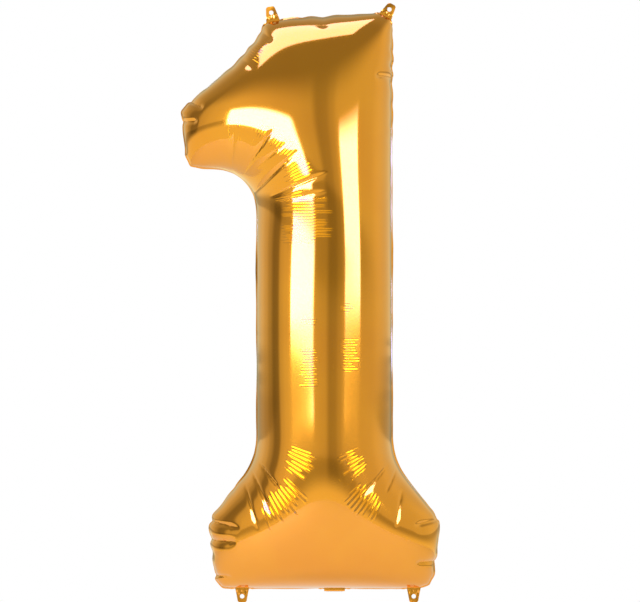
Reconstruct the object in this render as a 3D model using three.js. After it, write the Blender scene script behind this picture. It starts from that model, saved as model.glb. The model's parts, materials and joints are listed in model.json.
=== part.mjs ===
// Foil number balloon, a numeral one about 864 mm tall, as it stands when it is full of gas.
//
// Two sheets of metallised film are cut to the same outline and heat-sealed face to face in a
// narrow border. The border carries four punched tabs, two at the top corners to hang the balloon
// by and two on the bottom edge for ribbons or weights, and a filling tail at the middle of the
// bottom edge. A flat two-ply sleeve, the self-sealing valve, runs up the tail into the envelope.
// Gas makes each sheet bulge: a straight strip of the envelope becomes a round tube.
//
// Units are millimetres. X is to the right of a person facing the balloon, Y goes through it from
// front to back and Z is up. The outline is drawn with Z 0 on the bottom cut edge, and the last
// group moves the origin to the middle of the line through the two top tab holes.
import * as THREE from "three";

// The cut edge of the sealed border, front view.
const STEM_HALF = 98.5; // half the width of the upright
const FOOT_BOTTOM_HALF = 156; // half the foot's width on the bottom edge
const FOOT_TOP_HALF = 169; // half its width at the shoulders, the widest part
const FOOT_SHOULDER_Z = 98;
const FLARE_Z = 187; // where the shoulder slopes would meet the upright's sides
const FLARE_RADIUS = 90;
const FLAG_ROOT_Z = 605; // where the flag's under edge would meet the upright's side
const FLAG_ROOT_RADIUS = 60;
const FLAG_TIP = { lowX: -199, lowZ: 612, highX: -208, highZ: 696 };
const FLAG_NECK = { x: -114, z: 776, radius: 60 }; // the flag's top slope gets steeper here
const CORNER_RADIUS = 18;
const SHOULDER_RADIUS = 26;
const RIGHT_CORNER_RADIUS = 26; // the bottom right corner is rounder than the left one

// The sheets.
const FILM = 0.5; // thickness of a solid that stands for one sheet
const PLY_GAP = 0.3; // between two sheets that are sealed together
const SEAL_WIDTH = 3.5; // from the cut edge to the seam line, where the gas begins
const FIRST_ROWS = [1, 3.5]; // rows of points just inside the seam, where the film turns steeply
const EDGE_STEP = 14; // between points along the cut edge
const FILL_STEP = 19; // between points inside the seam

// The tabs.
const TAB = { root: 20, tip: 13.5, length: 17, tipRadius: 4, hole: 6.5, holeAt: 8 };
const TAB_CLEAR = 1.2; // from the cut edge to the line that a tab bends about
const TOP_CORNER_HALF = 10.5; // half the short straight edge that carries a top tab
const TOP_CORNER_RADIUS = 10;
const TOP_LEFT = { x: -75, z: 825, lean: 12 }; // middle of that edge, and how far it leans out
const TOP_RIGHT = { x: 89.3, z: 831, lean: -30 };
const BOTTOM_LEFT = { x: -119, z: 0, lean: 180 };
const BOTTOM_RIGHT = { x: 129, z: 0, lean: 180 };

// The valve and the filling tail.
const TAIL = { x: 14.5, width: 30, length: 45 };
const TAIL_CLEAR = 1.6; // from the cut edge to the line that the tail bends about
const VALVE = { width: 20, inside: 115, outside: 30, film: 0.25 };
const CHANNEL_HALF = 11; // half the width that the films leave for the valve
const CHANNEL_RAMP = 3; // beside it, where they come together again
const CHANNEL_LIFT = 0.55; // how far each film stands off for the valve

const V = (x, z) => new THREE.Vector2(x, z);

const FOIL = { color: 0xd6922c, roughness: 0.18, metalness: 1 };
const SLEEVE = { color: 0xe9e6dc, roughness: 0.35, metalness: 0 };

function named(name, geometry, finish) {
  const mesh = new THREE.Mesh(geometry, new THREE.MeshStandardMaterial(finish));
  mesh.name = name;
  return mesh;
}

// ---- The outline ----

const leaning = (degrees) => {
  const a = THREE.MathUtils.degToRad(degrees);
  return { out: V(-Math.sin(a), Math.cos(a)), along: V(Math.cos(a), Math.sin(a)) };
};

// The cut edge's corners, anticlockwise from the front, each with the radius that rounds it.
function corners() {
  const tabEdge = ({ x, z, lean }) => {
    const step = leaning(lean).along.multiplyScalar(TOP_CORNER_HALF);
    return [V(x, z).sub(step), V(x, z).add(step)];
  };
  const [leftA, leftB] = tabEdge(TOP_LEFT);
  const [rightA, rightB] = tabEdge(TOP_RIGHT);
  return [
    { at: V(FOOT_BOTTOM_HALF, 0), radius: RIGHT_CORNER_RADIUS },
    { at: V(FOOT_TOP_HALF, FOOT_SHOULDER_Z), radius: SHOULDER_RADIUS },
    { at: V(STEM_HALF, FLARE_Z), radius: FLARE_RADIUS },
    { at: rightB, radius: TOP_CORNER_RADIUS },
    { at: rightA, radius: TOP_CORNER_RADIUS },
    { at: leftB, radius: TOP_CORNER_RADIUS },
    { at: leftA, radius: TOP_CORNER_RADIUS },
    { at: V(FLAG_NECK.x, FLAG_NECK.z), radius: FLAG_NECK.radius },
    { at: V(FLAG_TIP.highX, FLAG_TIP.highZ), radius: CORNER_RADIUS },
    { at: V(FLAG_TIP.lowX, FLAG_TIP.lowZ), radius: CORNER_RADIUS },
    { at: V(-STEM_HALF, FLAG_ROOT_Z), radius: FLAG_ROOT_RADIUS },
    { at: V(-STEM_HALF, FLARE_Z), radius: FLARE_RADIUS },
    { at: V(-FOOT_TOP_HALF, FOOT_SHOULDER_Z), radius: SHOULDER_RADIUS },
    { at: V(-FOOT_BOTTOM_HALF, 0), radius: CORNER_RADIUS },
  ];
}

// The points where a corner's arc starts and ends, and points along it.
function arcAt(before, { at, radius }, after) {
  const toBefore = before.clone().sub(at).normalize();
  const toAfter = after.clone().sub(at).normalize();
  const half = Math.acos(THREE.MathUtils.clamp(toBefore.dot(toAfter), -1, 1)) / 2;
  const tangent = radius / Math.tan(half);
  const centre = at
    .clone()
    .add(toBefore.clone().add(toAfter).setLength(radius / Math.sin(half)));
  const start = at.clone().addScaledVector(toBefore, tangent);
  const end = at.clone().addScaledVector(toAfter, tangent);
  const from = start.clone().sub(centre).angle();
  let turn = end.clone().sub(centre).angle() - from;
  turn -= 2 * Math.PI * Math.round(turn / (2 * Math.PI));
  const steps = Math.max(2, Math.round((Math.abs(turn) * radius) / EDGE_STEP));
  return Array.from({ length: steps + 1 }, (_, i) => {
    const a = from + (turn * i) / steps;
    return centre.clone().add(V(Math.cos(a), Math.sin(a)).multiplyScalar(radius));
  });
}

function straight(from, to) {
  const steps = Math.max(1, Math.round(from.distanceTo(to) / EDGE_STEP));
  return Array.from({ length: steps - 1 }, (_, i) => from.clone().lerp(to, (i + 1) / steps));
}

// The cut edge as a closed row of points. The bottom has extra ones beside the valve's channel.
function edgePoints() {
  const list = corners();
  const arcs = list.map((c, i) =>
    arcAt(list.at(i - 1).at, c, list[(i + 1) % list.length].at),
  );
  const channel = [-1, 1].flatMap((side) =>
    [CHANNEL_HALF + CHANNEL_RAMP, CHANNEL_HALF].map((x) => V(TAIL.x + side * x, 0)),
  );
  const stops = channel.sort((a, b) => a.x - b.x);
  return arcs.flatMap((arc, i) => {
    const next = arcs[(i + 1) % arcs.length][0];
    const isBottomEdge = i === arcs.length - 1;
    const via = [arc.at(-1), ...(isBottomEdge ? stops : []), next];
    const between = via
      .slice(1)
      .flatMap((to, k) => [...(k ? [via[k]] : []), ...straight(via[k], to)]);
    return [...arc, ...between];
  });
}

// The outward direction at each point of a closed anticlockwise row.
function outwards(row) {
  return row.map((_, i) => {
    const along = row[(i + 1) % row.length].clone().sub(row.at(i - 1));
    return V(along.y, -along.x).normalize();
  });
}

function isInside(point, row) {
  let inside = false;
  row.forEach((a, i) => {
    const b = row.at(i - 1);
    const crosses = a.y > point.y !== b.y > point.y;
    if (crosses && point.x < ((b.x - a.x) * (point.y - a.y)) / (b.y - a.y) + a.x)
      inside = !inside;
  });
  return inside;
}

// ---- The flat sheet as triangles ----

// Delaunay triangles of a set of points, by adding them one at a time.
function delaunay(points) {
  const far = 1e4;
  const all = [...points, V(-far, -far), V(far, -far), V(0, far)];
  const circle = (ids) => {
    const [a, b, c] = ids.map((i) => all[i]);
    const d = 2 * (a.x * (b.y - c.y) + b.x * (c.y - a.y) + c.x * (a.y - b.y));
    const [aa, bb, cc] = [a, b, c].map((p) => p.lengthSq());
    const x = (aa * (b.y - c.y) + bb * (c.y - a.y) + cc * (a.y - b.y)) / d;
    const y = (aa * (c.x - b.x) + bb * (a.x - c.x) + cc * (b.x - a.x)) / d;
    return { ids, x, y, r2: (a.x - x) ** 2 + (a.y - y) ** 2 };
  };
  const n = points.length;
  let triangles = [circle([n, n + 1, n + 2])];
  points.forEach((p, i) => {
    const edges = new Map();
    triangles = triangles.filter((t) => {
      if ((p.x - t.x) ** 2 + (p.y - t.y) ** 2 >= t.r2) return true;
      t.ids.forEach((from, k) => {
        const to = t.ids[(k + 1) % 3];
        if (!edges.delete(`${to},${from}`)) edges.set(`${from},${to}`, [from, to]);
      });
      return false;
    });
    edges.forEach(([from, to]) => triangles.push(circle([from, to, i])));
  });
  return triangles.map((t) => t.ids).filter((ids) => ids.every((i) => i < n));
}

// The sheet's points, in rows from the cut edge inwards and then a triangular lattice, and its
// triangles, anticlockwise from the front.
function flatSheet() {
  const edge = edgePoints();
  const out = outwards(edge);
  const rowAt = (d) => edge.map((p, i) => p.clone().addScaledVector(out[i], -d));
  const rows = [0, SEAL_WIDTH, ...FIRST_ROWS.map((d) => SEAL_WIDTH + d)].map(rowAt);
  const innermost = rows.at(-1);
  const n = edge.length;
  const triangles = rows.slice(1).flatMap((_, r) =>
    edge.flatMap((_, i) => {
      const j = (i + 1) % n;
      const [a, b, c, d] = [r * n + i, r * n + j, (r + 1) * n + i, (r + 1) * n + j];
      return [
        [a, b, d],
        [a, d, c],
      ];
    }),
  );
  const lattice = [];
  const rise = (FILL_STEP * Math.sqrt(3)) / 2;
  for (let row = 1; row * rise < TOP_RIGHT.z; row++)
    for (let x = FLAG_TIP.highX + (row % 2) * (FILL_STEP / 2); x < FOOT_TOP_HALF; x += FILL_STEP) {
      const p = V(x, row * rise);
      const clear = innermost.every((q) => q.distanceTo(p) > 0.7 * FILL_STEP);
      if (clear && isInside(p, innermost)) lattice.push(p);
    }
  const first = n * (rows.length - 1);
  const middle = [...innermost, ...lattice];
  delaunay(middle).forEach((ids) => {
    const centre = V(0, 0);
    ids.forEach((i) => centre.addScaledVector(middle[i], 1 / 3));
    if (isInside(centre, innermost)) triangles.push(ids.map((i) => i + first));
  });
  return { points: [...rows.flat(), ...lattice], triangles, edgeCount: n };
}

// ---- The bulge ----

// How far the film stands off the seam's plane at each point. A membrane's sag u solves
// div grad u = -1 with u = 0 on the seam, and the square root of 2u makes a straight strip of
// the sheet into a half circle, which is the shape that gas gives it.
function bulge({ points, triangles, edgeCount }) {
  const held = (i) => i < 2 * edgeCount;
  const links = points.map(() => []);
  const load = points.map(() => 0);
  triangles.forEach((ids) => {
    const area = new THREE.Triangle(...ids.map((i) => new THREE.Vector3(...points[i], 0))).getArea();
    ids.forEach((apex, k) => {
      const [i, j] = [ids[(k + 1) % 3], ids[(k + 2) % 3]];
      const a = points[i].clone().sub(points[apex]);
      const b = points[j].clone().sub(points[apex]);
      const weight = a.dot(b) / (4 * area); // half the cotangent of the angle at the apex
      links[i].push([j, weight]);
      links[j].push([i, weight]);
      load[apex] += area / 3;
    });
  });
  const u = points.map(() => 0);
  const overshoot = 1.9;
  for (let sweep = 0; sweep < 600; sweep++)
    points.forEach((_, i) => {
      if (held(i)) return;
      const pull = links[i].reduce((sum, [j, w]) => sum + w * u[j], load[i]);
      const total = links[i].reduce((sum, [, w]) => sum + w, 0);
      u[i] += overshoot * (pull / total - u[i]);
    });
  return u.map((value) => Math.sqrt(2 * Math.max(0, value)));
}

// How far the films stand apart in the border to let the valve through, across the bottom edge.
function channelLift(p) {
  if (p.y > 2 * SEAL_WIDTH) return 0;
  const share = (CHANNEL_HALF + CHANNEL_RAMP - Math.abs(p.x - TAIL.x)) / CHANNEL_RAMP;
  return CHANNEL_LIFT * THREE.MathUtils.clamp(share, 0, 1);
}

// One sheet of film as a shell: its outer skin, its inner skin and the cut edge between them.
// side is -1 for the front sheet and 1 for the back one.
function sheetGeometry(sheet, heights, side) {
  const { points, triangles, edgeCount } = sheet;
  const outer = points.map((p, i) => {
    const stand = PLY_GAP / 2 + FILM + heights[i] + channelLift(p);
    return new THREE.Vector3(p.x, side * stand, p.y);
  });
  const faces = side < 0 ? triangles : triangles.map(([a, b, c]) => [a, c, b]);
  const flat = new THREE.Vector3(0, side, 0);
  const domeNormal = points.map(() => new THREE.Vector3());
  faces.forEach((ids) => {
    if (ids.some((i) => i < edgeCount)) return; // a face of the sealed border, which is flat
    const normal = new THREE.Triangle(...ids.map((i) => outer[i])).getNormal(new THREE.Vector3());
    ids.forEach((i) => domeNormal[i].add(normal));
  });
  const inner = outer.map((p, i) => {
    const dome = i < edgeCount ? flat : domeNormal[i].normalize();
    const border = i < 2 * edgeCount ? flat : dome;
    const miter = border.clone().add(dome).multiplyScalar(FILM / (1 + border.dot(dome)));
    return p.clone().sub(miter);
  });
  const n = points.length;
  const skin = faces.flatMap(([a, b, c]) => [a, b, c, a + n, c + n, b + n]);
  const cutEdge = Array.from({ length: edgeCount }, (_, i) => {
    const j = (i + 1) % edgeCount;
    return side < 0 ? [i, i + n, j, j, i + n, j + n] : [i, j, i + n, j, j + n, i + n];
  });
  const geometry = new THREE.BufferGeometry();
  geometry.setFromPoints([...outer, ...inner]);
  geometry.setIndex([...skin, ...cutEdge.flat()]);
  geometry.computeVertexNormals();
  return geometry;
}

// ---- Tabs ----

// One ply of a tab, with its bending line on X and its tip up, lying between y0 and y0 + FILM.
function tabPly(y0) {
  const { root, tip, length, tipRadius: r, hole, holeAt } = TAB;
  const shape = new THREE.Shape();
  shape.moveTo(-root / 2, 0);
  shape.lineTo(root / 2, 0);
  shape.quadraticCurveTo(tip / 2 + 0.5, length * 0.2, tip / 2, length * 0.5);
  shape.lineTo(tip / 2, length - r);
  shape.absarc(tip / 2 - r, length - r, r, 0, Math.PI / 2, false);
  shape.absarc(r - tip / 2, length - r, r, Math.PI / 2, Math.PI, false);
  shape.lineTo(-tip / 2, length * 0.5);
  shape.quadraticCurveTo(-tip / 2 - 0.5, length * 0.2, -root / 2, 0);
  const punched = new THREE.Path();
  punched.absarc(0, holeAt, hole / 2, 0, 2 * Math.PI, true);
  shape.holes.push(punched);
  const plate = { depth: FILM, bevelEnabled: false, curveSegments: 6 };
  return new THREE.ExtrudeGeometry(shape, plate).rotateX(Math.PI / 2).translate(0, y0 + FILM, 0);
}

// Both plies of a tab. Its edge's middle is (x, z) and it leans by lean degrees from straight up.
function tab(name, { x, z, lean }) {
  const group = new THREE.Group();
  const bend = V(x, z).addScaledVector(leaning(lean).out, TAB_CLEAR);
  group.position.set(bend.x, 0, bend.y);
  group.rotation.y = -THREE.MathUtils.degToRad(lean);
  group.add(named(`${name}_front_ply`, tabPly(-PLY_GAP / 2 - FILM), FOIL));
  group.add(named(`${name}_back_ply`, tabPly(PLY_GAP / 2), FOIL));
  return group;
}

// ---- Valve and tail ----

// A flat upright strip centred on X 0, from z0 to z1 and between y0 and y1.
function strip(width, y0, y1, z0, z1) {
  return new THREE.BoxGeometry(width, y1 - y0, z1 - z0).translate(
    0,
    (y0 + y1) / 2,
    (z0 + z1) / 2,
  );
}

// The valve's two plies from z0 up to z1.
function sleeve(name, z0, z1) {
  const near = PLY_GAP / 2;
  const far = near + VALVE.film;
  return [
    named(`${name}_front_ply`, strip(VALVE.width, -far, -near, z0, z1), SLEEVE),
    named(`${name}_back_ply`, strip(VALVE.width, near, far, z0, z1), SLEEVE),
  ];
}

// One ply of the filling tail, straight down from its bending line: a shallow hat section, because
// it is sealed to the other ply along both sides and stands off the valve between them.
function tailPly(side) {
  const flat = PLY_GAP / 2;
  const high = flat + CHANNEL_LIFT;
  const half = TAIL.width / 2;
  const ramp = CHANNEL_HALF + CHANNEL_RAMP / 2;
  const face = [
    [-half, flat],
    [-ramp, flat],
    [-CHANNEL_HALF, high],
    [CHANNEL_HALF, high],
    [ramp, flat],
    [half, flat],
  ].map(([x, y]) => V(x, side * y));
  const away = face.map((p) => V(p.x, p.y + side * FILM)).reverse();
  const plate = { depth: TAIL.length, bevelEnabled: false };
  const section = new THREE.Shape([...face, ...away]);
  return new THREE.ExtrudeGeometry(section, plate).translate(0, 0, -TAIL.length);
}

// The tail with the valve's outer stretch in it, folded back under the balloon.
function fillingTail() {
  const group = new THREE.Group();
  group.position.set(TAIL.x, 0, -TAIL_CLEAR);
  group.rotation.x = Math.PI / 2;
  group.add(named("filling_tail_front_ply", tailPly(-1), FOIL));
  group.add(named("filling_tail_back_ply", tailPly(1), FOIL));
  group.add(...sleeve("valve_outer", -VALVE.outside, 0));
  return group;
}

// ---- The balloon ----

const sheet = flatSheet();
const heights = bulge(sheet);

const balloon = new THREE.Group();
balloon.add(named("front_panel", sheetGeometry(sheet, heights, -1), FOIL));
balloon.add(named("back_panel", sheetGeometry(sheet, heights, 1), FOIL));
balloon.add(tab("hanging_tab_left", TOP_LEFT));
balloon.add(tab("hanging_tab_right", TOP_RIGHT));
balloon.add(tab("weight_tab_left", BOTTOM_LEFT));
balloon.add(tab("weight_tab_right", BOTTOM_RIGHT));
const innerValve = new THREE.Group();
innerValve.position.x = TAIL.x;
innerValve.add(...sleeve("valve_inner", 0, VALVE.inside));
balloon.add(innerValve);
balloon.add(fillingTail());

// The origin is the middle of the line through the two top tab holes.
const holeOf = ({ x, z, lean }) =>
  V(x, z).addScaledVector(leaning(lean).out, TAB_CLEAR + TAB.holeAt);
const hangingLine = holeOf(TOP_LEFT).add(holeOf(TOP_RIGHT)).multiplyScalar(0.5);
balloon.position.set(-hangingLine.x, 0, -hangingLine.y);

const object = new THREE.Group();
object.add(balloon);

export default object;
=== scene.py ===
import json
import math
import bpy
import numpy as np
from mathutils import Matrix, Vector
from mathutils.geometry import delaunay_2d_cdt


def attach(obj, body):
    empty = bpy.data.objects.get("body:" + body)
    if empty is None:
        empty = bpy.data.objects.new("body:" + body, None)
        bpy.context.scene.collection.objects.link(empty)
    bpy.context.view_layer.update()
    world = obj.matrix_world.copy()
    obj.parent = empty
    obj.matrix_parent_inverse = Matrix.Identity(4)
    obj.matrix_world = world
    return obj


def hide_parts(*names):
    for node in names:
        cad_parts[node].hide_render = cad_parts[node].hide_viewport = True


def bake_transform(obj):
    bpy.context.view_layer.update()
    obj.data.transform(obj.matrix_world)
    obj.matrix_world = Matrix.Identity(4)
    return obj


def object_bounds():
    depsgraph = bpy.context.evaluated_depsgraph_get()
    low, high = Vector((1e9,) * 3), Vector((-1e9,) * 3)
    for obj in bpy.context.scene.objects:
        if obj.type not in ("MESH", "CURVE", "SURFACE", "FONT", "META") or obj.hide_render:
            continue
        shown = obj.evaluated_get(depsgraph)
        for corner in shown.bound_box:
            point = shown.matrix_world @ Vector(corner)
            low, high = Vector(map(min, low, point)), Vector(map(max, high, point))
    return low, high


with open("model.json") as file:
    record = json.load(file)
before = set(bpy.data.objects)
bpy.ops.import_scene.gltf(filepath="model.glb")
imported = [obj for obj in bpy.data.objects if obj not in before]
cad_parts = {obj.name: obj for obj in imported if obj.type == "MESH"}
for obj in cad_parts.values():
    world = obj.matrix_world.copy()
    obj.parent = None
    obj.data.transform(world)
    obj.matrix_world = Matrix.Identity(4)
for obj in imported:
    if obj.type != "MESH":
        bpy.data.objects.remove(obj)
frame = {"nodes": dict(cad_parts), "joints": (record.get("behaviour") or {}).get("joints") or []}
cad_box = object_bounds()
joints = {joint["name"]: joint for joint in frame["joints"]}
scene = bpy.context.scene

# ---------------------------------------------------------------------------------------------
# Camera: level with the middle of the balloon and straight in front of it, far enough back
# that the round tube is seen without strain.
# ---------------------------------------------------------------------------------------------
CAMERA_DISTANCE = 4.5
VIEW_WIDTH = 0.925       # that the camera sees of the plane of the seam, from side to side
SENSOR_WIDTH = 36        # in millimetres, as lenses are
LEFT_EDGE_TO_MIDDLE = 0.2005
MIDDLE_RAISED = 0.0023
middle_height = (cad_box[0].z + cad_box[1].z) / 2 + MIDDLE_RAISED
FRAME_MIDDLE = Vector((cad_box[0].x + LEFT_EDGE_TO_MIDDLE, 0, middle_height))

camera = bpy.data.objects.new("camera", bpy.data.cameras.new("camera"))
scene.collection.objects.link(camera)
camera.data.sensor_width = SENSOR_WIDTH
camera.data.lens = SENSOR_WIDTH * CAMERA_DISTANCE / VIEW_WIDTH
camera.location = FRAME_MIDDLE + Vector((0, -CAMERA_DISTANCE, 0))
camera.rotation_euler = (math.radians(90), 0, 0)
scene.camera = camera

# ---------------------------------------------------------------------------------------------
# Gold film: metallised plastic film with a clear yellow lacquer, bright on both sides. The
# lacquer is the coat, and the metal under it is tinted by it. The welded border, the tabs and
# the tail are the same film after the welding wheel has dulled and ribbed it.
# ---------------------------------------------------------------------------------------------
GOLD = (0.94, 0.398, 0.003)
DEEP_GOLD = (0.90, 0.356, 0.002)
LACQUER_IOR = 1.65
RIB_SCALE = 900
MM = 0.001


def value_group(name, inputs, outputs):
    """An empty shader node group; inputs and outputs are (name, default) and names of numbers."""
    tree = bpy.data.node_groups.new(name, "ShaderNodeTree")
    for label, default in inputs:
        socket = tree.interface.new_socket(label, in_out="INPUT", socket_type="NodeSocketFloat")
        socket.default_value = default
    for label in outputs:
        tree.interface.new_socket(label, in_out="OUTPUT", socket_type="NodeSocketFloat")
    return tree, tree.nodes.new("NodeGroupInput"), tree.nodes.new("NodeGroupOutput")


def math_node(tree, operation, *values):
    node = tree.nodes.new("ShaderNodeMath")
    node.operation = operation
    for socket, value in zip(node.inputs, values):
        if isinstance(value, (int, float)):
            socket.default_value = value
        else:
            tree.links.new(value, socket)
    return node.outputs[0]


def soft_step(tree, value, low, high):
    """0 below low and 1 above high, with a smooth ramp."""
    node = tree.nodes.new("ShaderNodeMapRange")
    node.interpolation_type = "SMOOTHSTEP"
    for label, number in (("Value", value), ("From Min", low), ("From Max", high)):
        if isinstance(number, (int, float)):
            node.inputs[label].default_value = number
        else:
            tree.links.new(number, node.inputs[label])
    return node.outputs["Result"]


def separate(tree, vector):
    node = tree.nodes.new("ShaderNodeSeparateXYZ")
    tree.links.new(vector, node.inputs[0])
    return node.outputs[0], node.outputs[1], node.outputs[2]


def noise_node(tree, scale, detail, stretch=(1, 1, 1)):
    coordinates = tree.nodes.new("ShaderNodeTexCoord")
    mapping = tree.nodes.new("ShaderNodeMapping")
    mapping.inputs["Scale"].default_value = stretch
    tree.links.new(coordinates.outputs["Object"], mapping.inputs["Vector"])
    node = tree.nodes.new("ShaderNodeTexNoise")
    node.inputs["Detail"].default_value = detail
    tree.links.new(mapping.outputs["Vector"], node.inputs["Vector"])
    if isinstance(scale, (int, float)):
        node.inputs["Scale"].default_value = scale
    else:
        tree.links.new(scale, node.inputs["Scale"])
    return node.outputs["Fac"]


def make_film_grain():
    """Slow drifts in the lacquer's depth, faint rolling lines and a fine orange peel."""
    tree, given, result = value_group(
        "film_grain", [("Drift Scale", 9.0), ("Peel Scale", 420.0)], ["Tone", "Dullness", "Height"])
    drift = noise_node(tree, given.outputs["Drift Scale"], 3)
    peel = noise_node(tree, given.outputs["Peel Scale"], 2)
    rolled = noise_node(tree, 60, 3, (1, 1, 0.05))
    tree.links.new(soft_step(tree, drift, 0.3, 0.7), result.inputs["Tone"])
    dull = math_node(tree, "MULTIPLY_ADD", rolled, 0.6, math_node(tree, "MULTIPLY", drift, 0.4))
    tree.links.new(dull, result.inputs["Dullness"])
    tree.links.new(peel, result.inputs["Height"])
    return tree


def make_pleat_comb():
    """Rows of fine pleats where the film has more length than it needs. The piece's pleats
    attribute holds a count across the pleats, a share along them and their depth in mm."""
    tree, given, result = value_group("pleat_comb", [("Ragged", 0.35)], ["Height"])
    source = tree.nodes.new("ShaderNodeAttribute")
    source.attribute_name = "pleats"
    count, share, depth = separate(tree, source.outputs["Vector"])
    pleat = math_node(tree, "FLOOR", count)
    across = math_node(tree, "SUBTRACT", count, pleat)
    ends = []
    for offset in (0.25, 0.75):
        chance = tree.nodes.new("ShaderNodeTexWhiteNoise")
        chance.noise_dimensions = "1D"
        tree.links.new(math_node(tree, "ADD", pleat, offset), chance.inputs["W"])
        ends.append(math_node(tree, "MULTIPLY", chance.outputs["Value"], given.outputs["Ragged"]))
    start = soft_step(tree, share, ends[0], math_node(tree, "ADD", ends[0], 0.2))
    left = math_node(tree, "SUBTRACT", 1.0, share)
    stop = soft_step(tree, left, ends[1], math_node(tree, "ADD", ends[1], 0.2))
    ridge = math_node(tree, "SINE", math_node(tree, "MULTIPLY", across, 2 * math.pi))
    height = math_node(tree, "MULTIPLY", math_node(tree, "MULTIPLY", ridge, depth),
                       math_node(tree, "MULTIPLY", start, stop))
    tree.links.new(height, result.inputs["Height"])
    return tree


FILM_GRAIN = make_film_grain()
PLEAT_COMB = make_pleat_comb()


def group_node(tree, group, **values):
    node = tree.nodes.new("ShaderNodeGroup")
    node.node_tree = group
    for label, value in values.items():
        node.inputs[label.replace("_", " ")].default_value = value
    return node


def blank_material(name):
    material = bpy.data.materials.new(name)
    material.use_nodes = True
    return material, material.node_tree, material.node_tree.nodes["Principled BSDF"]


def tint_and_dull(tree, shader, grain, colours, roughness):
    """The film's colour and roughness drift between two values each, as its grain says."""
    tint = tree.nodes.new("ShaderNodeMix")
    tint.data_type = "RGBA"
    for label, colour in zip("AB", colours):
        tint.inputs[label].default_value = (*colour, 1)
    tree.links.new(grain.outputs["Tone"], tint.inputs["Factor"])
    tree.links.new(tint.outputs["Result"], shader.inputs["Base Color"])
    dull = tree.nodes.new("ShaderNodeMapRange")
    dull.inputs["To Min"].default_value, dull.inputs["To Max"].default_value = roughness
    tree.links.new(grain.outputs["Dullness"], dull.inputs["Value"])
    tree.links.new(dull.outputs["Result"], shader.inputs["Roughness"])


def bump_by(tree, shader, height, distance):
    """distance is what a height of 1 stands for, in metres."""
    bump = tree.nodes.new("ShaderNodeBump")
    bump.inputs["Distance"].default_value = distance
    tree.links.new(height, bump.inputs["Height"])
    tree.links.new(bump.outputs["Normal"], shader.inputs["Normal"])


def gold_film(name, roughness, coat_roughness, drift_scale, peel_depth, rib_depth=0.0):
    """Depths are in mm. rib_depth is for film that the welding wheel has ribbed."""
    material, tree, shader = blank_material(name)
    grain = group_node(tree, FILM_GRAIN, Drift_Scale=drift_scale)
    tint_and_dull(tree, shader, grain, (GOLD, DEEP_GOLD), roughness)
    shader.inputs["Metallic"].default_value = 1
    shader.inputs["Coat Weight"].default_value = 1
    shader.inputs["Coat Roughness"].default_value = coat_roughness
    shader.inputs["Coat IOR"].default_value = LACQUER_IOR
    pleats = group_node(tree, PLEAT_COMB)
    height = math_node(tree, "MULTIPLY_ADD", grain.outputs["Height"], peel_depth, pleats.outputs["Height"])
    if rib_depth:
        ribs = noise_node(tree, RIB_SCALE, 1)
        height = math_node(tree, "MULTIPLY_ADD", ribs, rib_depth, height)
    bump_by(tree, shader, height, MM)
    return material


GOLD_FILM = gold_film("gold_film", roughness=(0.07, 0.12), coat_roughness=0.06, drift_scale=9,
                      peel_depth=0.010)
GOLD_WELD = gold_film("gold_weld", roughness=(0.12, 0.22), coat_roughness=0.10, drift_scale=30,
                      peel_depth=0.012, rib_depth=0.02)

# ---------------------------------------------------------------------------------------------
# Front and back film of the envelope: two sheets of one cut, welded together round the edge and
# blown up, where they pleat by themselves. The cut is found by blowing up trial cuts until the
# welded edge lies on the numeral's outline. Lengths in this section are in millimetres.
# ---------------------------------------------------------------------------------------------
SEAM_INSET = 1.5         # from the outline to the seam, where the gas ends
WELD_WIDTH = 3.5         # of the border, which lies back against the envelope
WELD_CURL = 62           # degrees that it lies back by
CURL_WANDER = 16         # degrees that this changes by along the seam
ROOT_WELD = 1.5          # width of the border where a tab or the tail holds it straight
FILM_STEP = 15.6         # of the coarsest mesh; each finer one has half the step
FINER_MESHES = 3
FINER_STEPS = (500, 300, 120)          # of settling on each finer mesh
FINER_STIFFNESS = (0.03, 0.06, 0.10)   # against tight bends, on each finer mesh
COARSE_STIFFNESS = 0.03
CUT_ALLOWANCE = 42       # first guess of how far the flat cut reaches past the outline
FIRST_RUMPLE = 0.3       # random unevenness of the flat film before it is blown up
FINER_RUMPLE = 0.4       # the same on the first finer mesh, so that its pleats can form
FIRST_STEPS = 600        # of blowing up the first trial cut
TRIM_STEPS = 60          # of settling after each trim of the cut
TRIM_SHARE = 0.6         # of the gap to the outline that one trim takes up
GAS = 2e-5               # pressure, as stretch of the film per mm of its radius
FIRST_GAS = 20 * GAS
FULL_GAS = 3 * GAS
FILM_THICKNESS = 0.25
INNER_WALL = 1.2         # how far the coarse inner wall stays behind the outer skin
CHANNEL_HALF, CHANNEL_RAMP, CHANNEL_LIFT = 11, 3, 0.55
LOOSE = 0.95             # how much of its speed the film keeps from step to step
GAIN = 3.2               # how far a step follows the forces on the film
GAS_EVERY = 4            # steps between two updates of where the gas pushes


def cut_edge(node):
    """The ring of the sheet's cut edge in the plane of the seam, anticlockwise from the front."""
    mesh = frame["nodes"][node].data
    keys, links = {}, {}
    for face in mesh.polygons:
        corners = [mesh.vertices[i].co / MM for i in face.vertices]
        if abs(face.normal.y) > 0.1 or max(abs(p.y) for p in corners) > 2:
            continue
        ids = sorted({keys.setdefault((round(p.x, 1), round(p.z, 1)), len(keys)) for p in corners})
        if len(ids) == 2:
            links.setdefault(ids[0], set()).add(ids[1])
            links.setdefault(ids[1], set()).add(ids[0])
    places = list(keys)
    order, here = [], 0
    while here not in order:
        order.append(here)
        here = next((i for i in sorted(links[here]) if i not in order), order[0])
    ring = np.array([places[i] for i in order])
    turned = (ring[:, 0] * np.roll(ring[:, 1], -1) - ring[:, 1] * np.roll(ring[:, 0], -1)).sum()
    return ring if turned > 0 else ring[::-1]


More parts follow.
